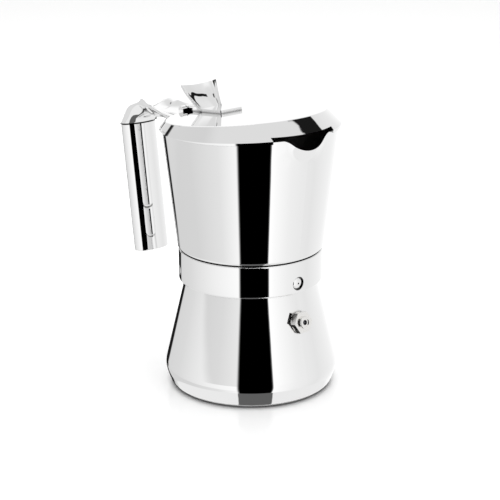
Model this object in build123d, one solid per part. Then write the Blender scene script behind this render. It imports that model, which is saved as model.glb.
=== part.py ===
from build123d import *
import math
import os

# Moka pot of polished stainless steel with a quarter-turn (bayonet) closure, for six small cups.
# Millimetres. Origin: centre of the base, on the surface the pot stands on.
# +Z is up, +X points to the spout and the safety valve, the handle is on -X.

# ---- driving dimensions -------------------------------------------------------------------
SHEET = 1.0              # drawn steel of the boiler
JUG_SHEET = 0.9          # drawn steel of the jug
LID_SHEET = 0.8

BELLY_RADIUS = 52.3      # boiler at its widest, before the corner is rounded
BELLY_Z = 11.0
FOOT_RADIUS = 48.6
FOOT_Z = 0.3
WAIST_RADIUS = 39.4      # boiler where it meets the collar
WAIST_Z = 65.7
NECK_RADIUS = 37.6
NECK_Z = 68.6
RIM_Z = 80.0             # top edge of the boiler

BASE_RECESS_Z = 4.0      # underside of the boiler floor
BASE_RECESS_RADIUS = 42.0
BASE_CAP_RADIUS = 41.6
BASE_CAP_SHEET = 0.7

FLANGE_RADIUS = 40.4     # bayonet lugs round the neck
FLANGE_Z = 74.4
FLANGE_THICKNESS = 2.2
PIN_ANGLES = (0, 120, 240)
PIN_Z = 71.7
PIN_RADIUS = 2.5
PIN_TIP_RADIUS = 38.2    # how far in the pins reach, from the pot's axis
PIN_HEAD_RADIUS = 3.5
PIN_RECESS_RADIUS = 4.1
PIN_RECESS_DEPTH = 1.3
NOTCH_WIDTH = 6.6        # gap in the bayonet ring that a pin drops through
LOCK_TURN = 35           # degrees from dropping in to locked, clockwise from above

COLLAR_RADIUS = 43.1
COLLAR_BORE = 40.9
COLLAR_TOP_Z = 85.0

JUG_FLOOR_Z = 85.4
JUG_FOOT_RADIUS = 43.5
JUG_FOOT_FILLET = 2.0
JUG_TOP_Z = 162.0
JUG_TOP_RADIUS = 52.15
JUG_RIM_Z = 158.8        # the rim is cut on a slight slope that rises to the spout
RIM_SLOPE = 0.035
RIM_GAP = 0.3            # between the rim and the closed lid
SPOUT_NOTCH_RADIUS = 18.0
SPOUT_NOTCH_Z = 153.4    # lowest point of the pouring notch
SPOUT_CREST_Z = 161.1
SPOUT_SHOULDER = 13.5
LIP_X = 34.6             # centre of the ball that presses the pouring lip outwards
LIP_Z = 161.0
LIP_RADIUS = 20.0
LIP_BLEND = 30.0

SEAT_RADIUS = 38.3       # recess under the jug that holds the gasket
SEAT_BOTTOM_Z = 78.8
GASKET_RADIUS = 38.1
GASKET_BORE = 31.0
GASKET_Z = 80.95
GASKET_HEIGHT = 3.0
FILTER_PLATE_RADIUS = 32.3
FILTER_PLATE_Z = 82.05
FILTER_PLATE_SHEET = 0.7

FUNNEL_SHEET = 0.8
CUP_RADIUS = 36.0
CUP_FLOOR_Z = 55.0
STEM_RADIUS = 5.4
STEM_SHEET = 0.8
STEM_BOTTOM_Z = 8.0
FUNNEL_SCREEN_Z = 64.0

RISER_RADIUS = 6.0
RISER_SHEET = 0.8
RISER_TOP_Z = 133.0
RISER_CAP_RADIUS = 7.4
RISER_CAP_BOTTOM_Z = 124.0
RISER_CAP_TOP_Z = 139.0

VALVE_Z = 48.0           # where the valve's axis leaves the boiler wall
VALVE_HEX = 11.8         # across flats
VALVE_WASHER = 0.8
VALVE_HEX_HEIGHT = 3.6
VALVE_BOSS_RADIUS = 3.7
VALVE_BOSS_HEIGHT = 1.7
VALVE_SHANK_RADIUS = 4.0
VALVE_SHANK_LENGTH = 6.6
VALVE_BORE = 2.6
VALVE_LIFT = 1.5

LID_RADIUS = 53.3
LID_EDGE_Z = 158.0       # skirt's lower edge at the pot's axis
LID_EDGE_SLOPE = 0.03
LID_TOP_Z = 165.2        # flat top at the pot's axis
LID_TOP_SLOPE = 0.12
LID_TOP_RADIUS = 47.3
LID_TOP_CENTRE_X = -3.8
LID_BEVEL = 48.0         # degrees between the flat top and the bevel
LID_TOP_FILLET = 1.3
LID_CHORD_X = -49.0      # the lid stops here, in front of the hinge
LID_SHORT_SKIRT_X = -44.0    # behind this the skirt stops at the jug's rim, so that it can swing up
VISOR_Z = 163.0          # the skirt is cut up to here over the spout
VISOR_HALF_WIDTH = 22.0
VISOR_Y = -1.5            # middle of the cut; it sits a little to one side

HINGE_X = -52.0
HINGE_Z = 160.2
KNUCKLE_RADIUS = 2.2
HINGE_PIN_RADIUS = 1.1
HINGE_HALF_WIDTH = 11.0
LID_KNUCKLE_HALF_WIDTH = 7.4
EAR_INNER_Y = 7.7
EAR_ROOT_Z = 153.0       # the outer knuckles stand up from the arm at this height

GRIP_TOP = (-111.2, 140.5)    # X, Z of the seam between grip and arm
GRIP_END = (-100.0, 58.6)
GRIP_HALF_WIDTH = 12.0
GRIP_HALF_DEPTH = 8.0
GRIP_SHEET = 1.2
SEAM = 0.05              # gap between grip and arm
END_CAP_HEIGHT = 2.5
BRACKET_HALF_WIDTH = 11.0

# Sections of the arm from the grip to the jug:
# X, Z, direction of travel in degrees from +X, half width, half thickness, rise of the edges.
ARM_SECTIONS = (
    (-111.2, 140.5, 97.8, 12.0, 8.0, 0.0),
    (-108.6, 143.8, 94.0, 12.0, 6.8, -0.3),
    (-105.4, 146.3, 83.0, 12.0, 5.2, 0.8),
    (-101.3, 148.4, 63.0, 12.0, 3.7, 3.0),
    (-96.9, 150.0, 43.0, 12.0, 2.7, 5.0),
    (-91.7, 150.9, 21.0, 12.1, 2.2, 6.3),
    (-84.0, 151.0, 2.0, 12.4, 2.0, 6.1),
    (-76.0, 151.1, 1.0, 13.6, 2.0, 5.2),
    (-68.0, 151.4, 3.0, 15.8, 2.0, 4.6),
    (-59.0, 152.0, 4.0, 19.2, 2.0, 4.4),
    (-48.0, 152.7, 4.0, 23.0, 2.0, 4.6),
)
ARM_BEND_SECTIONS = 7    # the first of them form the bend, the rest the straight trough
ARM_STEP_Z = 156.0       # above this the arm also keeps clear of the lid's rim

# The thumb paddle, from the lever's plate to its free edge, in the same terms.
PADDLE_SECTIONS = (
    (-36.0, 161.3, 150.0, 8.2, 1.0, -0.3),
    (-40.6, 164.2, 145.0, 9.7, 1.0, -1.2),
    (-45.4, 168.0, 138.0, 11.6, 0.9, -2.2),
    (-50.6, 174.1, 128.0, 13.2, 0.8, -3.0),
)

LEVER_PLATE_THICKNESS = 2.0
LEVER_FRONT_X = -17.0
LEVER_FRONT_HALF_WIDTH = 8.6


# ---- helpers ------------------------------------------------------------------------------
def turned(face):
    """Solid of revolution about Z of a face drawn as (radius, height)."""
    return revolve(Plane.XZ * face, Axis.Z)


def turned_polygon(*points):
    return turned(make_face(Polyline(*points, close=True)))


def turned_sheet(points, radii, thickness):
    """Pressed sheet: an open outline with rounded corners, thickened to its left, turned about Z."""
    outline = FilletPolyline(*points, radius=radii)
    return turned(make_face(offset(outline, amount=thickness, side=Side.LEFT).edges()))


def ring(outer, inner, bottom, top):
    return turned_polygon((inner, bottom), (outer, bottom), (outer, top), (inner, top))


def disc(radius, bottom, top):
    return turned_polygon((0, bottom), (radius, bottom), (radius, top), (0, top))


def around_axis(part, angles):
    return [Rot(0, 0, angle) * part for angle in angles]


def sloped_plane(z, slope, x=0):
    """Plane through (x, 0) at its own height there, rising towards +X."""
    return Plane(origin=(x, 0, z + slope * x), x_dir=(1, 0, slope), z_dir=(-slope, 0, 1))


def below(z, slope):
    """A large block under a sloped plane."""
    return sloped_plane(z, slope) * Pos(0, 0, -100) * Box(400, 400, 200)


def perforated(radius, hole_radius, pitch, rows, thickness):
    """Flat round plate with a hexagonal field of holes, resting on Z = 0."""
    field = HexLocations(pitch / math.sqrt(3), rows, rows, major_radius=False)
    centres = [place for place in field if place.position.length < radius - 2.2]
    plate = Circle(radius) - [place * Circle(hole_radius) for place in centres]
    return extrude(plate, thickness)


def section_face(x, z, direction, half_width, half_thickness, rise):
    """Oval square to the direction of travel, its two edges lifted by rise."""
    ahead = math.radians(direction)
    plane = Plane(origin=(x, 0, z), x_dir=(0, 1, 0), z_dir=(math.cos(ahead), 0, math.sin(ahead)))

    def half(first_step):
        points = []
        for step in range(first_step, first_step + 9):
            turn = step * math.tau / 16
            height = half_thickness * math.sin(turn) + rise * math.cos(turn) ** 2
            points.append((half_width * math.cos(turn), height))
        rising = 1 if first_step == 0 else -1
        return Spline(*points, tangents=((0, rising), (0, -rising)))

    return plane * make_face([half(0), half(8)])


def lofted(sections):
    return loft([section_face(*section) for section in sections])


def jug_envelope(grow=0.0):
    """The jug's outer cone as a solid."""
    return turned_polygon(
        (0, JUG_FLOOR_Z), (JUG_FOOT_RADIUS + grow, JUG_FLOOR_Z), (JUG_TOP_RADIUS + grow, JUG_TOP_Z), (0, JUG_TOP_Z)
    )


def jug_radius(z):
    """Outer radius of the jug."""
    return JUG_FOOT_RADIUS + (JUG_TOP_RADIUS - JUG_FOOT_RADIUS) * (z - JUG_FLOOR_Z) / (JUG_TOP_Z - JUG_FLOOR_Z)


def boiler_radius(z):
    """Outer radius of the boiler's straight flare."""
    return BELLY_RADIUS + (WAIST_RADIUS - BELLY_RADIUS) * (z - BELLY_Z) / (WAIST_Z - BELLY_Z)


FLARE = math.degrees(math.atan((BELLY_RADIUS - WAIST_RADIUS) / (WAIST_Z - BELLY_Z)))
# The valve stands square to the boiler wall; its own Z points outwards.
VALVE_PLACE = Pos(boiler_radius(VALVE_Z), 0, VALVE_Z) * Rot(0, 90 - FLARE, 0)


# ---- boiler -------------------------------------------------------------------------------
def boiler_shell():
    points = [
        (0, BASE_RECESS_Z),
        (BASE_RECESS_RADIUS, BASE_RECESS_Z),
        (BASE_RECESS_RADIUS, FOOT_Z),
        (FOOT_RADIUS, FOOT_Z),
        (BELLY_RADIUS, BELLY_Z),
        (WAIST_RADIUS, WAIST_Z),
        (NECK_RADIUS, NECK_Z),
        (NECK_RADIUS, RIM_Z),
    ]
    shell = turned_sheet(points, [0.5, 1.4, 4.2, 12.5, 3.0, 3.0], SHEET)
    return shell - VALVE_PLACE * Cylinder(VALVE_SHANK_RADIUS, 20)


def base_core():
    return disc(BASE_CAP_RADIUS - BASE_CAP_SHEET - 0.3, BASE_CAP_SHEET, BASE_RECESS_Z)


def base_cap():
    points = [(0, 0), (BASE_CAP_RADIUS, 0), (BASE_CAP_RADIUS, BASE_RECESS_Z - 0.6)]
    return turned_sheet(points, [1.0], BASE_CAP_SHEET)


def bayonet_lugs():
    top = FLANGE_Z + FLANGE_THICKNESS
    flange = ring(FLANGE_RADIUS, NECK_RADIUS, FLANGE_Z, top)
    notch = Pos(FLANGE_RADIUS, 0, FLANGE_Z) * Box(8, NOTCH_WIDTH, 3 * FLANGE_THICKNESS)
    stop_height = 5.0
    stop = Pos(0, 0, FLANGE_Z - stop_height / 2) * Box(2 * FLANGE_RADIUS, 2.6, stop_height)
    stop &= ring(FLANGE_RADIUS - 0.3, NECK_RADIUS, FLANGE_Z - stop_height, FLANGE_Z)
    stop &= Pos(FLANGE_RADIUS, 0, FLANGE_Z) * Box(20, 20, 20)
    pin_half_angle = math.degrees(math.asin((PIN_RADIUS + 1.7) / NECK_RADIUS))
    stop_angles = [angle - LOCK_TURN - pin_half_angle for angle in PIN_ANGLES]
    return flange - around_axis(notch, PIN_ANGLES) + around_axis(stop, stop_angles)


# ---- safety valve -------------------------------------------------------------------------
def valve_body():
    hexagon = extrude(RegularPolygon(VALVE_HEX / 2, 6, major_radius=False, rotation=30), VALVE_HEX_HEIGHT)
    hexagon &= Cone(VALVE_HEX / 2 + 4.4, VALVE_HEX / 2 - 0.1, 4.5, align=(Align.CENTER, Align.CENTER, Align.MIN))
    body = Pos(0, 0, VALVE_WASHER) * hexagon
    boss_bottom = VALVE_WASHER + VALVE_HEX_HEIGHT
    boss = Pos(0, 0, boss_bottom + VALVE_BOSS_HEIGHT / 2) * Cylinder(VALVE_BOSS_RADIUS, VALVE_BOSS_HEIGHT)
    boss = fillet(boss.edges().group_by(Axis.Z)[-1], 0.6)
    shank_top = VALVE_WASHER
    shank = Pos(0, 0, shank_top - VALVE_SHANK_LENGTH / 2) * Cylinder(VALVE_SHANK_RADIUS, VALVE_SHANK_LENGTH)
    seat_z = shank_top - VALVE_SHANK_LENGTH + 1.2
    spring_room = Pos(0, 0, seat_z) * Cylinder(VALVE_BORE, 20, align=(Align.CENTER, Align.CENTER, Align.MIN))
    inlet = Cylinder(1.5, 40)
    return VALVE_PLACE * (body + boss + shank - spring_room - inlet)


def valve_washer():
    flat = Pos(0, 0, VALVE_WASHER / 2) * Cylinder(6.2, VALVE_WASHER)
    return VALVE_PLACE * (flat - Cylinder(VALVE_SHANK_RADIUS, 4))


def valve_nut():
    nut = extrude(RegularPolygon(5.6, 6, major_radius=False), 2.6) - Cylinder(VALVE_SHANK_RADIUS, 10)
    return VALVE_PLACE * Pos(0, 0, -SHEET - 0.6 - 2.6) * nut


def valve_cap():
    """Pierced disc pressed into the mouth of the valve; it holds the spring in."""
    top = VALVE_WASHER + VALVE_HEX_HEIGHT + VALVE_BOSS_HEIGHT - 0.5
    cap = Cylinder(VALVE_BORE, 0.9) - Cylinder(1.5, 4)
    return VALVE_PLACE * Pos(0, 0, top - 0.45) * cap


def valve_plunger():
    seat_z = VALVE_WASHER - VALVE_SHANK_LENGTH + 1.2
    head_radius = VALVE_BORE - 0.3
    tip_z = VALVE_WASHER + VALVE_HEX_HEIGHT + VALVE_BOSS_HEIGHT - 0.9
    plunger = turned_polygon(
        (0, seat_z - 0.6),
        (0.8, seat_z - 0.6),
        (1.3, seat_z + 0.05),
        (head_radius, seat_z + 0.05),
        (head_radius, seat_z + 1.2),
        (1.1, seat_z + 1.2),
        (1.1, tip_z - 0.5),
        (0.6, tip_z),
        (0, tip_z),
    )
    return VALVE_PLACE * plunger


def valve_spring():
    """Drawn as long as it is with the valve lifted, so that it clears the cap at full lift."""
    bottom = VALVE_WASHER - VALVE_SHANK_LENGTH + 1.2 + 1.2 + 0.35
    cap_bottom = VALVE_WASHER + VALVE_HEX_HEIGHT + VALVE_BOSS_HEIGHT - 1.4
    height = cap_bottom - VALVE_LIFT - bottom - 0.4
    wire_radius = 0.25
    coil = Helix(pitch=height / 5, height=height, radius=1.75)
    profile = Plane(origin=coil @ 0, z_dir=coil % 0) * Circle(wire_radius)
    return VALVE_PLACE * Pos(0, 0, bottom) * sweep(profile, path=coil)


# ---- funnel -------------------------------------------------------------------------------
def funnel_cup():
    flange_z = RIM_Z + 0.05
    points = [
        (STEM_RADIUS + 0.12, CUP_FLOOR_Z),
        (CUP_RADIUS - 4.0, CUP_FLOOR_Z + 3.6),
        (CUP_RADIUS, CUP_FLOOR_Z + 7.4),
        (CUP_RADIUS, flange_z),
        (NECK_RADIUS - 0.2, flange_z),
    ]
    return turned_sheet(points, [2.0, 3.0, 0.4], FUNNEL_SHEET)


def funnel_stem():
    return ring(STEM_RADIUS, STEM_RADIUS - STEM_SHEET, STEM_BOTTOM_Z, CUP_FLOOR_Z + 1.4)


def funnel_screen():
    return Pos(0, 0, FUNNEL_SCREEN_Z) * perforated(CUP_RADIUS - FUNNEL_SHEET - 0.03, 0.8, 4.6, 19, 0.6)


# ---- gasket and filter plate --------------------------------------------------------------
def gasket():
    top = GASKET_Z + GASKET_HEIGHT
    groove_bottom = FILTER_PLATE_Z - 0.05
    groove_top = FILTER_PLATE_Z + FILTER_PLATE_SHEET + 0.05
    groove_radius = FILTER_PLATE_RADIUS + 0.1
    return turned_polygon(
        (GASKET_BORE, GASKET_Z),
        (GASKET_RADIUS, GASKET_Z),
        (GASKET_RADIUS, top),
        (GASKET_BORE, top),
        (GASKET_BORE, groove_top),
        (groove_radius, groove_top),
        (groove_radius, groove_bottom),
        (GASKET_BORE, groove_bottom),
    )


def filter_plate():
    return Pos(0, 0, FILTER_PLATE_Z) * perforated(FILTER_PLATE_RADIUS, 0.7, 4.0, 19, FILTER_PLATE_SHEET)


# ---- jug ----------------------------------------------------------------------------------
def jug_body(inset):
    """The jug as a solid cone with its pouring lip pressed out at +X; inset makes it smaller."""
    bottom = JUG_FLOOR_Z + inset
    top = JUG_TOP_Z + 15
    wall = [(jug_radius(z) - inset, z) for z in (bottom, top)]
    cone = turned_polygon((0, bottom), *wall, (0, top))
    cone = fillet(cone.edges().filter_by(GeomType.CIRCLE).sort_by(Axis.Z)[0], JUG_FOOT_FILLET - inset)
    lip_room = Pos(60, 0, JUG_TOP_Z - 5) * Box(60, 90, 40)
    body = cone + (Pos(LIP_X, 0, LIP_Z) * Sphere(LIP_RADIUS - inset) & lip_room)
    crease = [edge for edge in body.edges() if edge.geom_type not in (GeomType.CIRCLE, GeomType.LINE)]
    return fillet(crease, LIP_BLEND + inset)


def jug_shell():
    shell = (jug_body(0) - jug_body(JUG_SHEET)) & below(JUG_RIM_Z, RIM_SLOPE)
    return shell - spout_notch() - disc(RISER_RADIUS, JUG_FLOOR_Z - 1, JUG_FLOOR_Z + 2)


def spout_notch():
    """Pouring notch: a round dip with soft shoulders, cut through the wall at +X."""
    centre_z = SPOUT_NOTCH_Z + SPOUT_NOTCH_RADIUS
    dip = Pos(0, centre_z) * Circle(SPOUT_NOTCH_RADIUS)
    sky = Pos(0, SPOUT_CREST_Z + 30) * Rectangle(64, 60)
    outline = dip + sky
    shoulders = [v for v in outline.vertices() if abs(v.Y - SPOUT_CREST_Z) < 0.1 and abs(v.X) < 30]
    outline = fillet(shoulders, SPOUT_SHOULDER)
    return extrude(Plane.YZ * outline, 80)


def seat_plate():
    """Plate under the jug floor, with the ring that the gasket sits in."""
    plate = ring(COLLAR_BORE, RISER_RADIUS, JUG_FLOOR_Z - 1.2, JUG_FLOOR_Z)
    return plate + ring(SEAT_RADIUS + 1.2, SEAT_RADIUS, SEAT_BOTTOM_Z, JUG_FLOOR_Z - 1.2)


def riser_tube():
    return ring(RISER_RADIUS, RISER_RADIUS - RISER_SHEET, JUG_FLOOR_Z - 1.2, RISER_TOP_Z)


def riser_cap():
    points = [(0, RISER_CAP_TOP_Z), (RISER_CAP_RADIUS, RISER_CAP_TOP_Z - 1.5), (RISER_CAP_RADIUS, RISER_CAP_BOTTOM_Z)]
    outside = make_face(Polyline((0, RISER_CAP_BOTTOM_Z), *points, close=True))
    cap = turned(outside)
    cap = fillet(cap.edges().filter_by(GeomType.CIRCLE).group_by(Axis.Z)[-1], 1.0)
    cap -= disc(RISER_RADIUS, RISER_CAP_BOTTOM_Z, RISER_CAP_TOP_Z - 2.6)
    slot = Pos(0, 0, RISER_TOP_Z + 1.6) * Box(5, 4 * RISER_CAP_RADIUS, 2.6)
    return cap - slot


def collar_ring():
    collar = ring(COLLAR_RADIUS, COLLAR_BORE, WAIST_Z, COLLAR_TOP_Z)
    outer_edges = [edge for edge in collar.edges().filter_by(GeomType.CIRCLE) if edge.radius > COLLAR_BORE + 1]
    collar = fillet(outer_edges, 0.9)
    recess_floor = COLLAR_RADIUS - PIN_RECESS_DEPTH
    recess = Pos(recess_floor + 5, 0, PIN_Z) * Rot(0, 90, 0) * Cylinder(PIN_RECESS_RADIUS, 10)
    hole = Pos(COLLAR_RADIUS, 0, PIN_Z) * Rot(0, 90, 0) * Cylinder(PIN_RADIUS, 10)
    return collar - around_axis(recess + hole, PIN_ANGLES)


def bayonet_pins():
    """Domed studs; the head sits in the collar's round recess, the shank reaches in over the neck."""
    floor = COLLAR_RADIUS - PIN_RECESS_DEPTH
    crown = COLLAR_RADIUS - 0.1
    outline = make_face(
        Polyline((PIN_TIP_RADIUS, 0), (PIN_TIP_RADIUS, PIN_RADIUS), (floor, PIN_RADIUS), (floor, PIN_HEAD_RADIUS))
        + Line((floor, PIN_HEAD_RADIUS), (floor + 0.25, PIN_HEAD_RADIUS))
        + ThreePointArc((floor + 0.25, PIN_HEAD_RADIUS), (crown - 0.25, 1.9), (crown, 0))
        + Line((crown, 0), (PIN_TIP_RADIUS, 0))
    )
    pin = revolve(Plane.XZ * outline, Axis.X)
    pin -= Pos(crown, 0, 0) * Rot(0, 90, 0) * Cylinder(0.55, 0.9)
    return Compound(children=around_axis(Pos(0, 0, PIN_Z) * pin, PIN_ANGLES))


# ---- handle -------------------------------------------------------------------------------
def grip_direction():
    return math.degrees(math.atan2(GRIP_TOP[1] - GRIP_END[1], GRIP_TOP[0] - GRIP_END[0]))


def grip_bar(half_width, half_depth, start, end):
    """Oval bar along the grip's axis; start and end are distances from its free end."""
    ahead = math.radians(grip_direction())
    way = Vector(math.cos(ahead), 0, math.sin(ahead))
    free_end = Vector(GRIP_END[0], 0, GRIP_END[1])
    plane = Plane(origin=free_end + way * start, x_dir=(0, -1, 0), z_dir=way)
    return extrude(plane * Ellipse(half_width, half_depth), end - start)


def grip_length():
    return math.dist(GRIP_TOP, GRIP_END)


def handle_grip():
    """Oval tube, open at both ends."""
    tube = grip_bar(GRIP_HALF_WIDTH, GRIP_HALF_DEPTH, 0, grip_length() - SEAM)
    tube = fillet(tube.edges().sort_by(Axis.Z)[0], 0.8)
    return tube - grip_bar(GRIP_HALF_WIDTH - GRIP_SHEET, GRIP_HALF_DEPTH - GRIP_SHEET, -1, 2 * grip_length())


def grip_end_cap():
    """Plate let into the free end of the tube, flush with it."""
    inset = GRIP_SHEET + 0.03
    return grip_bar(GRIP_HALF_WIDTH - inset, GRIP_HALF_DEPTH - inset, 0, END_CAP_HEIGHT)


def arm_blank():
    """Dished arm, clear of the jug wall and of the lid's rim."""
    bend = ARM_SECTIONS[: ARM_BEND_SECTIONS]
    trough = ARM_SECTIONS[ARM_BEND_SECTIONS - 1 :]
    pot_room = turned_polygon(
        (0, 100),
        (jug_radius(100), 100),
        (jug_radius(ARM_STEP_Z), ARM_STEP_Z),
        (LID_RADIUS + 0.5, ARM_STEP_Z),
        (LID_RADIUS + 0.5, 175),
        (0, 175),
    )
    return lofted(bend) + lofted(trough) - pot_room


def across_hinge(radius, width, y=0.0):
    """Cylinder on the lid's hinge axis."""
    return Pos(HINGE_X, y, HINGE_Z) * Rot(90, 0, 0) * Cylinder(radius, width)


def handle_arm():
    """Dished arm that spreads towards the jug, with the two outer knuckles of the lid's hinge."""
    arm = arm_blank()
    wall_room = jug_envelope(0.2) & below(JUG_RIM_Z, RIM_SLOPE)
    ear_width = HINGE_HALF_WIDTH - EAR_INNER_Y
    web_height = HINGE_Z - EAR_ROOT_Z
    for side in (-1, 1):
        y = side * (EAR_INNER_Y + ear_width / 2)
        web = Pos(HINGE_X, y, HINGE_Z - web_height / 2) * Box(2 * KNUCKLE_RADIUS, ear_width, web_height)
        arm += web - wall_room
        arm += across_hinge(KNUCKLE_RADIUS, ear_width, y)
    return arm - across_hinge(HINGE_PIN_RADIUS, 40)


def handle_bracket():
    """Plate welded to the jug wall that carries the arm from below."""
    pad = jug_envelope(2.4) - jug_envelope()
    pad &= Pos(-50, 0, 146) * Box(30, 2 * BRACKET_HALF_WIDTH, 16)
    return pad - arm_blank()


def hinge_pin():
    return across_hinge(HINGE_PIN_RADIUS - 0.03, 2 * HINGE_HALF_WIDTH)


# ---- lid ----------------------------------------------------------------------------------
def lid_form(inset):
    """Flat sloping top with a conical bevel, inside a plain cylinder; inset makes it smaller."""
    bevel = math.radians(LID_BEVEL)
    depth = 30.0
    top_radius = LID_TOP_RADIUS - inset * math.tan(bevel / 2)
    cone = Cone(
        top_radius + depth / math.tan(bevel), top_radius, depth, align=(Align.CENTER, Align.CENTER, Align.MAX)
    )
    top = sloped_plane(LID_TOP_Z, LID_TOP_SLOPE, LID_TOP_CENTRE_X).offset(-inset)
    return top * cone & disc(LID_RADIUS - inset, LID_EDGE_Z - 5, LID_TOP_Z + 10)


def lid_shell():
    outside = lid_form(0)
    top_edge = outside.edges().filter_by(GeomType.CIRCLE).sort_by(SortBy.LENGTH)[0]
    outside = fillet(top_edge, LID_TOP_FILLET)
    shell = outside - lid_form(LID_SHEET) - below(LID_EDGE_Z, LID_EDGE_SLOPE)
    visor_room = Pos(50, VISOR_Y, VISOR_Z - 20) * Box(60, 2 * VISOR_HALF_WIDTH, 40)
    chord = Pos(LID_CHORD_X - 20, 0, 160) * Box(40, 120, 60)
    under_rim = below(JUG_RIM_Z + RIM_GAP, RIM_SLOPE)
    rim_room = under_rim & ring(JUG_TOP_RADIUS + RIM_GAP, JUG_TOP_RADIUS - 3, 150, 170)
    swing_room = under_rim & Pos(LID_SHORT_SKIRT_X - 20, 0, 150) * Box(40, 120, 60)
    return shell - visor_room - chord - rim_room - swing_room


def thumb_lever():
    """Plate on the lid, the paddle that the thumb pulls, and the hinge's middle knuckle."""
    top = sloped_plane(LID_TOP_Z, LID_TOP_SLOPE)
    back_x = HINGE_X + 1.0
    front = [(LEVER_FRONT_X, -LEVER_FRONT_HALF_WIDTH), (LEVER_FRONT_X, LEVER_FRONT_HALF_WIDTH)]
    back = [(back_x, LID_KNUCKLE_HALF_WIDTH), (back_x, -LID_KNUCKLE_HALF_WIDTH)]
    outline = make_face(Polyline(*front, *back, close=True))
    outline = fillet(outline.vertices().group_by(Axis.X)[-1], 1.5)
    lever = extrude(top * outline, LEVER_PLATE_THICKNESS)
    lever += lofted(PADDLE_SECTIONS) - below(LID_TOP_Z, LID_TOP_SLOPE)
    lever += across_hinge(KNUCKLE_RADIUS, 2 * LID_KNUCKLE_HALF_WIDTH)
    return lever - across_hinge(HINGE_PIN_RADIUS, 40)


NODES = {
    "boiler_shell": boiler_shell,
    "base_core": base_core,
    "base_cap": base_cap,
    "bayonet_lugs": bayonet_lugs,
    "valve_body": valve_body,
    "valve_washer": valve_washer,
    "valve_nut": valve_nut,
    "valve_cap": valve_cap,
    "valve_plunger": valve_plunger,
    "valve_spring": valve_spring,
    "funnel_cup": funnel_cup,
    "funnel_stem": funnel_stem,
    "funnel_screen": funnel_screen,
    "gasket": gasket,
    "filter_plate": filter_plate,
    "jug_shell": jug_shell,
    "seat_plate": seat_plate,
    "riser_tube": riser_tube,
    "riser_cap": riser_cap,
    "collar_ring": collar_ring,
    "bayonet_pins": bayonet_pins,
    "handle_grip": handle_grip,
    "grip_end_cap": grip_end_cap,
    "handle_arm": handle_arm,
    "handle_bracket": handle_bracket,
    "hinge_pin": hinge_pin,
    "lid_shell": lid_shell,
    "thumb_lever": thumb_lever,
}

os.makedirs("parts", exist_ok=True)
for name, make in NODES.items():
    export_step(make(), f"parts/{name}.step")
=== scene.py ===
import math

import bpy
from mathutils import Matrix, Vector

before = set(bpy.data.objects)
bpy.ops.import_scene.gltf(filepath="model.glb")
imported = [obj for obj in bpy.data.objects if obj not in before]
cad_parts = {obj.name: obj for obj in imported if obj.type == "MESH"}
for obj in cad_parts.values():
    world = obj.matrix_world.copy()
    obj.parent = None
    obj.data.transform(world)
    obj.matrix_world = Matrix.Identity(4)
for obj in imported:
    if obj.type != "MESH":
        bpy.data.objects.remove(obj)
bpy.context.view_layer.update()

# ---- driving values (metres, degrees) -------------------------------------------------------
CAMERA_AZIMUTH = 50.0            # view azimuth: 0 looks along +Y
CAMERA_DISTANCE = 0.8852         # from the pot's axis, measured along the floor
CAMERA_HEIGHT = 0.3714
CAMERA_PITCH = 18.13
CAMERA_ROLL = -0.22
CAMERA_SIDE = -0.0004
CAMERA_LENS = 111.96
SENSOR = 36.0
CLIP = (0.05, 20.0)

FLOOR_SIZE = 6.0
FLOOR_GREY = 0.95
FLOOR_ROUGHNESS = 0.18
LAMP_SIZE = 1.6
LAMP_HEIGHT = 1.5
LAMP_POWER = 20

# Brightness of the studio round the pot, as (angle from the camera's direction, grey). The dark
# stretch from -16.5 to 28 is the gap in front that the camera looks through.
LEFT_BACK = (
    (-180, 0.90),
    (-176, 0.90),
    (-174.5, 0.01),
)
RIGHT_SIDE = (
    (-16.5, 0.0),
    (28, 0.0),
    (29.5, 1.0),
    (38, 0.94),
    (60, 0.84),
    (100, 0.76),
    (140, 0.86),
    (172, 1.0),
    (180, 0.90),
)
# Well below eye level:
LOW_STUDIO = (
    *LEFT_BACK,
    (-158, 0.01),
    (-152, 0.62),
    (-90, 0.64),
    (-45, 0.74),
    (-19, 0.90),
    *RIGHT_SIDE,
)
# A little below eye level, where the dark gap at the left is wider:
EDGE_STUDIO = (
    *LEFT_BACK,
    (-149, 0.01),
    (-146, 0.64),
    (-110, 0.68),
    (-60, 0.84),
    (-19, 0.95),
    *RIGHT_SIDE,
)
# Above eye level:
HIGH_STUDIO = (
    (-180, 0.96),
    (-168, 0.96),
    (-156, 0.70),
    (-143, 0.66),
    (-142, 0.01),
    (-138, 0.01),
    (-137, 0.64),
    (-90, 0.62),
    (-45, 0.68),
    (-19, 0.78),
    (-16.5, 0.0),
    (28, 0.0),
    (29.5, 1.0),
    (45, 0.92),
    (80, 0.76),
    (120, 0.68),
    (150, 0.80),
    (168, 0.96),
    (180, 0.96),
)
# Where one band of the studio blends into the next, as heights of the view direction (-1 to 1).
LOW_TO_EDGE = (-0.37, -0.33)
EDGE_TO_HIGH = (-0.02, 0.02)
HIGH_TO_OVERHEAD = (0.78, 0.90)
LOW_TO_TABLE = (-0.54, -0.58)
OVERHEAD_GREY = 0.70

# Steeply below, the gap lies on the table as a grey strip: (offset, slope) of its two sides.
TABLE_STRIP_LEFT = (-0.145, -0.155)
TABLE_STRIP_RIGHT = (0.24, 0.256)
TABLE_STRIP_SOFTNESS = 0.01
TABLE_STRIP_END = (-0.25, -0.15)
TABLE_STRIP_GREY = 0.107
TABLE_GREY = 0.80

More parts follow.
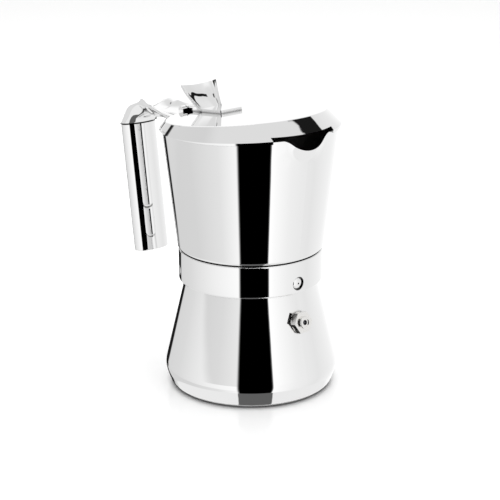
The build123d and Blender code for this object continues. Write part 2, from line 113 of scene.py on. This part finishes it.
# Dark flag high up behind the pot: the direction across it in (ahead, right, up), the start and
# end of the band measured that way, and its lower and upper end.
FLAG_ACROSS = (-0.656, -0.696, 0.292)
FLAG_START = (-0.003, 0.001)
FLAG_END = (0.097, 0.089)
FLAG_BOTTOM = (0.50, 0.52)
FLAG_TOP = (0.872, 0.862)
FLAG_BEHIND = (0.02, -0.02)
FLAG_RIGHT = (-0.05, 0.05)
FLAG_GREY = 0.01

STUDIO_STRENGTH = 1.1
BACKDROP_STRENGTH = 1.2

# Grey levels of the polished steel, and where it is painted darker as painted shade: in crevices, along
# the handle seam and on the inner side of hollow bodies.
STEEL_GREY = 0.93
# painted shade: near-black colour in narrow gaps and recesses, found by ambient occlusion
PAINTED_CREVICE_SHADE_GREY = 0.02
CREVICE_REACH = 0.003
CREVICE_SHADE = (0.68, 0.42)
# painted shade: the inner side of hollow bodies is coloured darker to stand in for the shade inside them;
# the added roughness is their duller finish
INNER_SHADE_GREY = 0.34
INNER_ROUGHNESS = 0.3
INNER_FACING = (-0.3, -0.5)
# painted shadow: near-black line along the joint of grip and arm
SEAM_SHADOW_GREY = 0.01
SEAM_HALF_WIDTH = (0.0006, 0.00036)
GRIP_TOP = (-0.1112, 0.1405)     # X, Z of the ends of the handle grip
GRIP_END = (-0.1000, 0.0586)

# Metals with working marks: colour, roughness, noise scale, stretch of the noise.
WORKED_METALS = {
    "satin_steel": ((0.70, 0.69, 0.67, 1), 0.22, 1.0, (300, 300, 2500)),
    "plated_valve": ((0.90, 0.89, 0.87, 1), 0.12, 900.0, (1, 1, 1)),
    # painted shade: the valve spring and plunger are coloured near-black so the valve's mouth reads as a
    # dark hole
    "spring_steel": ((0.10, 0.10, 0.11, 1), 0.25, 1500.0, (1, 1, 1)),
    "aluminium": ((0.80, 0.80, 0.81, 1), 0.30, 1.0, (400, 400, 2500)),
}

# Every node that isn't listed here is plain polished steel.
NODE_MATERIALS = {
    # jug, lid and boiler carry painted shade on their inner side
    "polished_steel_shaded_inside": ("jug_shell", "lid_shell", "boiler_shell"),
    # grip and arm carry the painted shadow line of their joint
    "polished_steel_seam_shadow": ("handle_grip", "handle_arm"),
    "satin_steel": (
        "funnel_cup", "funnel_stem", "funnel_screen", "filter_plate", "seat_plate",
        "riser_tube", "riser_cap", "bayonet_lugs",
    ),
    "plated_valve": ("valve_body", "valve_washer", "valve_nut", "valve_cap"),
    # spring and plunger drawn near-black as painted shade in the valve's mouth
    "spring_steel": ("valve_spring", "valve_plunger"),
    "aluminium": ("base_core",),
    "silicone": ("gasket",),
}


# ---- node helpers ---------------------------------------------------------------------------
class Nodes:
    """Short calls for building a node tree."""

    def __init__(self, tree):
        self.tree = tree
        tree.nodes.clear()

    def add(self, kind, inputs=None, **settings):
        node = self.tree.nodes.new(kind)
        for name, value in settings.items():
            setattr(node, name, value)
        for name, value in (inputs or {}).items():
            self.put(node.inputs[name], value)
        return node

    def put(self, socket, value):
        if isinstance(value, bpy.types.NodeSocket):
            self.tree.links.new(value, socket)
        else:
            socket.default_value = value

    def math(self, operation, a, b=0.0, c=0.0):
        return self.add("ShaderNodeMath", {0: a, 1: b, 2: c}, operation=operation).outputs[0]

    def dot(self, vector, direction):
        node = self.add("ShaderNodeVectorMath", {0: vector, 1: direction}, operation="DOT_PRODUCT")
        return node.outputs["Value"]

    def smooth(self, value, start, end):
        """Smooth step: 0 where value is at start, 1 where it is at end; either may be larger."""
        inputs = {"Value": value, "From Min": start, "From Max": end}
        return self.add("ShaderNodeMapRange", inputs, interpolation_type="SMOOTHSTEP").outputs["Result"]

    def mix(self, factor, a, b):
        """Colour mix; a and b are sockets or grey levels."""
        node = self.add("ShaderNodeMix", data_type="RGBA")
        colour_a, colour_b = [s for s in node.inputs if s.type == "RGBA"]
        self.put(node.inputs["Factor"], factor)
        for socket, value in ((colour_a, a), (colour_b, b)):
            self.put(socket, (value, value, value, 1) if isinstance(value, float) else value)
        return next(s for s in node.outputs if s.type == "RGBA")

    def product(self, first, *others):
        """Product of several masks."""
        for other in others:
            first = self.math("MULTIPLY", first, other)
        return first

    def ramp(self, value, stops):
        """Grey colour ramp: stops are (position, brightness)."""
        node = self.add("ShaderNodeValToRGB", {0: value})
        elements = node.color_ramp.elements
        while len(elements) < len(stops):
            elements.new(0.5)
        for element, (position, grey) in zip(elements, stops):
            element.position = position
            element.color = (grey, grey, grey, 1)
        return node.outputs["Color"]


# ---- studio ---------------------------------------------------------------------------------
def studio_world():
    """White studio seen in the polished steel: two wide soft boxes either side of the camera, with
    the dark gap between them that the camera looks through, narrow dark gaps behind and a small
    dark flag high up behind the pot. The camera itself sees a plain white backdrop."""
    world = bpy.data.worlds.new("studio")
    world.use_nodes = True
    n = Nodes(world.node_tree)
    facing = math.radians(CAMERA_AZIMUTH - 90)
    way = n.add("ShaderNodeTexCoord").outputs["Generated"]
    ahead = n.dot(way, (math.cos(facing), math.sin(facing), 0))
    right = n.dot(way, (-math.sin(facing), math.cos(facing), 0))
    up = n.dot(way, (0, 0, 1))
    around = n.math("MULTIPLY_ADD", n.math("ARCTAN2", right, ahead), 0.5 / math.pi, 0.5)
    low, edge, high = (
        n.ramp(around, [(0.5 + angle / 360, grey) for angle, grey in stops])
        for stops in (LOW_STUDIO, EDGE_STUDIO, HIGH_STUDIO)
    )
    table = n.mix(strip_mask(n, ahead, right), TABLE_GREY, TABLE_STRIP_GREY)
    level = n.mix(n.smooth(up, *LOW_TO_EDGE), low, edge)
    level = n.mix(n.smooth(up, *EDGE_TO_HIGH), level, high)
    level = n.mix(n.smooth(up, *HIGH_TO_OVERHEAD), level, OVERHEAD_GREY)
    level = n.mix(n.smooth(up, *LOW_TO_TABLE), level, table)
    seen = n.mix(flag_mask(n, ahead, right, up), level, FLAG_GREY)
    mirrored = n.add("ShaderNodeBackground", {"Color": seen, "Strength": STUDIO_STRENGTH})
    backdrop = n.add("ShaderNodeBackground", {"Color": (1, 1, 1, 1), "Strength": BACKDROP_STRENGTH})
    direct = n.add("ShaderNodeLightPath").outputs["Is Camera Ray"]
    surface = n.add("ShaderNodeMixShader", {0: direct, 1: mirrored.outputs[0], 2: backdrop.outputs[0]})
    n.add("ShaderNodeOutputWorld", {"Surface": surface.outputs[0]})
    return world


def strip_mask(n, ahead, right):
    """1 on the grey strip of table in front of the pot."""
    left_offset, left_slope = TABLE_STRIP_LEFT
    right_offset, right_slope = TABLE_STRIP_RIGHT
    soft = TABLE_STRIP_SOFTNESS
    from_left = n.math("MULTIPLY_ADD", ahead, -left_slope, right)
    from_right = n.math("MULTIPLY_ADD", ahead, -right_slope, right)
    return n.product(
        n.smooth(from_left, left_offset - soft, left_offset + soft),
        n.smooth(from_right, right_offset + soft, right_offset - soft),
        n.smooth(ahead, *TABLE_STRIP_END),
    )


def flag_mask(n, ahead, right, up):
    """1 on the flag: a narrow slanting band high behind the pot."""
    across = n.math("MULTIPLY", ahead, FLAG_ACROSS[0])
    across = n.math("MULTIPLY_ADD", right, FLAG_ACROSS[1], across)
    across = n.math("MULTIPLY_ADD", up, FLAG_ACROSS[2], across)
    return n.product(
        n.smooth(across, *FLAG_START),
        n.smooth(across, *FLAG_END),
        n.smooth(up, *FLAG_BOTTOM),
        n.smooth(up, *FLAG_TOP),
        n.smooth(ahead, *FLAG_BEHIND),
        n.smooth(right, *FLAG_RIGHT),
    )


def floor_material():
    grey = (FLOOR_GREY, FLOOR_GREY, FLOOR_GREY, 1)
    return principled("floor", {"Base Color": grey, "Roughness": FLOOR_ROUGHNESS})[0]


def make_floor():
    """Plain pale floor; the steel doesn't mirror it, because the studio already holds the table."""
    half = FLOOR_SIZE / 2
    corners = [(-half, -half, 0), (half, -half, 0), (half, half, 0), (-half, half, 0)]
    mesh = bpy.data.meshes.new("floor")
    mesh.from_pydata(corners, [], [(0, 1, 2, 3)])
    mesh.materials.append(floor_material())
    floor = bpy.data.objects.new("floor", mesh)
    bpy.context.scene.collection.objects.link(floor)
    floor.visible_glossy = False


def make_light():
    """Large soft overhead light; it keeps the floor white and isn't mirrored in the steel."""
    light = bpy.data.lights.new("overhead", "AREA")
    light.shape = "DISK"
    light.size = LAMP_SIZE
    light.energy = LAMP_POWER
    lamp = bpy.data.objects.new("overhead", light)
    lamp.location = (0, 0, LAMP_HEIGHT)
    lamp.visible_glossy = False
    bpy.context.scene.collection.objects.link(lamp)


def make_camera():
    data = bpy.data.cameras.new("camera")
    data.lens = CAMERA_LENS
    data.sensor_width = SENSOR
    data.clip_start, data.clip_end = CLIP
    camera = bpy.data.objects.new("camera", data)
    azimuth = math.radians(CAMERA_AZIMUTH)
    back = Vector((math.sin(azimuth), -math.cos(azimuth), 0))
    side = Vector((math.cos(azimuth), math.sin(azimuth), 0))
    camera.location = back * CAMERA_DISTANCE + side * CAMERA_SIDE + Vector((0, 0, CAMERA_HEIGHT))
    turn = Matrix.Rotation(azimuth, 4, "Z") @ Matrix.Rotation(math.radians(90 - CAMERA_PITCH), 4, "X")
    camera.rotation_euler = (turn @ Matrix.Rotation(math.radians(CAMERA_ROLL), 4, "Z")).to_euler()
    bpy.context.scene.collection.objects.link(camera)
    bpy.context.scene.camera = camera


# ---- materials ------------------------------------------------------------------------------
def principled(name, inputs):
    """Principled material with the given inputs; returns the material, its node helper and shader."""
    material = bpy.data.materials.new(name)
    material.use_nodes = True
    n = Nodes(material.node_tree)
    shader = n.add("ShaderNodeBsdfPrincipled", inputs)
    n.add("ShaderNodeOutputMaterial", {"Surface": shader.outputs[0]})
    return material, n, shader


def painted_crevice_shade(n):
    """1 in narrow gaps and recesses, which get painted shade: they are drawn darker than their mirrored
    light alone.
    """
    shade = n.add("ShaderNodeAmbientOcclusion", {"Distance": CREVICE_REACH}, samples=6)
    return n.smooth(shade.outputs["AO"], *CREVICE_SHADE)


def inner_side(n):
    """1 on faces that look towards the pot's own axis."""
    place = n.add("ShaderNodeTexCoord")
    flat = n.add("ShaderNodeVectorMath", {0: place.outputs["Object"], 1: (1, 1, 0)}, operation="MULTIPLY")
    outwards = n.add("ShaderNodeVectorMath", {0: flat.outputs[0]}, operation="NORMALIZE")
    return n.smooth(n.dot(place.outputs["Normal"], outwards.outputs[0]), *INNER_FACING)


def painted_seam_shadow(n, place):
    """1 on a painted shadow line along the joint of grip and arm, standing in for the dark gap; the
    modelled gap is too fine to show.
    """
    slant = math.atan2(GRIP_TOP[1] - GRIP_END[1], GRIP_TOP[0] - GRIP_END[0])
    along = (math.cos(slant), 0, math.sin(slant))
    start = GRIP_TOP[0] * along[0] + GRIP_TOP[1] * along[2]
    offset = n.math("ABSOLUTE", n.math("SUBTRACT", n.dot(place, along), start))
    return n.smooth(offset, *SEAM_HALF_WIDTH)


def polished_steel(name="polished_steel", hollow=False, seam=False):
    """Mirror polish with faint haze and buffing marks, and painted shade in crevices. A hollow body is
    duller on the side that looks towards its axis and darker there by painted shade; seam adds the painted
    shadow line of the handle joint."""
    material, n, shader = principled(name, {"Metallic": 1.0})
    place = n.add("ShaderNodeTexCoord").outputs["Object"]
    haze = n.add("ShaderNodeTexNoise", {"Vector": place, "Scale": 55.0, "Detail": 4.0})
    stretched = n.add("ShaderNodeMapping", {"Vector": place, "Scale": (900, 900, 60)})
    marks = n.add("ShaderNodeTexNoise", {"Vector": stretched.outputs[0], "Scale": 1.0, "Detail": 2.0})
    roughness = n.math("MULTIPLY_ADD", haze.outputs["Fac"], 0.016, 0.006)
    bump = n.add("ShaderNodeBump", {"Height": marks.outputs["Fac"], "Strength": 0.02, "Distance": 0.00002})
    n.put(shader.inputs["Normal"], bump.outputs[0])
    # painted shade: crevices drawn near-black
    colour = n.mix(painted_crevice_shade(n), STEEL_GREY, PAINTED_CREVICE_SHADE_GREY)
    if seam:
        # painted shadow line along the handle joint
        colour = n.mix(painted_seam_shadow(n, place), colour, SEAM_SHADOW_GREY)
    if hollow:
        inside = inner_side(n)
        # painted shade: the inner side is coloured darker; the added roughness below is its duller polish
        colour = n.mix(inside, colour, INNER_SHADE_GREY)
        roughness = n.math("MULTIPLY_ADD", inside, INNER_ROUGHNESS, roughness)
    n.put(shader.inputs["Base Color"], colour)
    n.put(shader.inputs["Roughness"], roughness)
    return material


def worked_metal(name, colour, roughness, scale, stretch):
    """Metal with working marks: fine noise, stretched one way where stretch says so."""
    material, n, shader = principled(name, {"Metallic": 1.0, "Base Color": colour})
    place = n.add("ShaderNodeTexCoord").outputs["Object"]
    stretched = n.add("ShaderNodeMapping", {"Vector": place, "Scale": stretch})
    marks = n.add("ShaderNodeTexNoise", {"Vector": stretched.outputs[0], "Scale": scale, "Detail": 4.0})
    bump = n.add("ShaderNodeBump", {"Height": marks.outputs["Fac"], "Strength": 0.10, "Distance": 0.00004})
    n.put(shader.inputs["Roughness"], n.math("MULTIPLY_ADD", marks.outputs["Fac"], 0.12, roughness))
    n.put(shader.inputs["Normal"], bump.outputs[0])
    return material


def silicone():
    """Off-white rubber with a matt, faintly mottled skin."""
    material, n, shader = principled("silicone", {"Base Color": (0.78, 0.77, 0.73, 1)})
    place = n.add("ShaderNodeTexCoord").outputs["Object"]
    grain = n.add("ShaderNodeTexNoise", {"Vector": place, "Scale": 1400.0, "Detail": 3.0})
    bump = n.add("ShaderNodeBump", {"Height": grain.outputs["Fac"], "Strength": 0.15, "Distance": 0.00005})
    n.put(shader.inputs["Roughness"], n.math("MULTIPLY_ADD", grain.outputs["Fac"], 0.15, 0.5))
    n.put(shader.inputs["Normal"], bump.outputs[0])
    return material


def dress():
    """Give every node its material."""
    made = {
        "polished_steel": polished_steel(),
        "polished_steel_shaded_inside": polished_steel("polished_steel_shaded_inside", hollow=True),
        "polished_steel_seam_shadow": polished_steel("polished_steel_seam_shadow", seam=True),
        "silicone": silicone(),
    }
    made |= {name: worked_metal(name, *finish) for name, finish in WORKED_METALS.items()}
    chosen = {node: material for material, nodes in NODE_MATERIALS.items() for node in nodes}
    for name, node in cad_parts.items():
        for place in node.material_slots:
            place.material = made[chosen.get(name, "polished_steel")]


dress()
bpy.context.scene.world = studio_world()
bpy.context.scene.view_settings.view_transform = "Standard"
make_floor()
make_light()
make_camera()
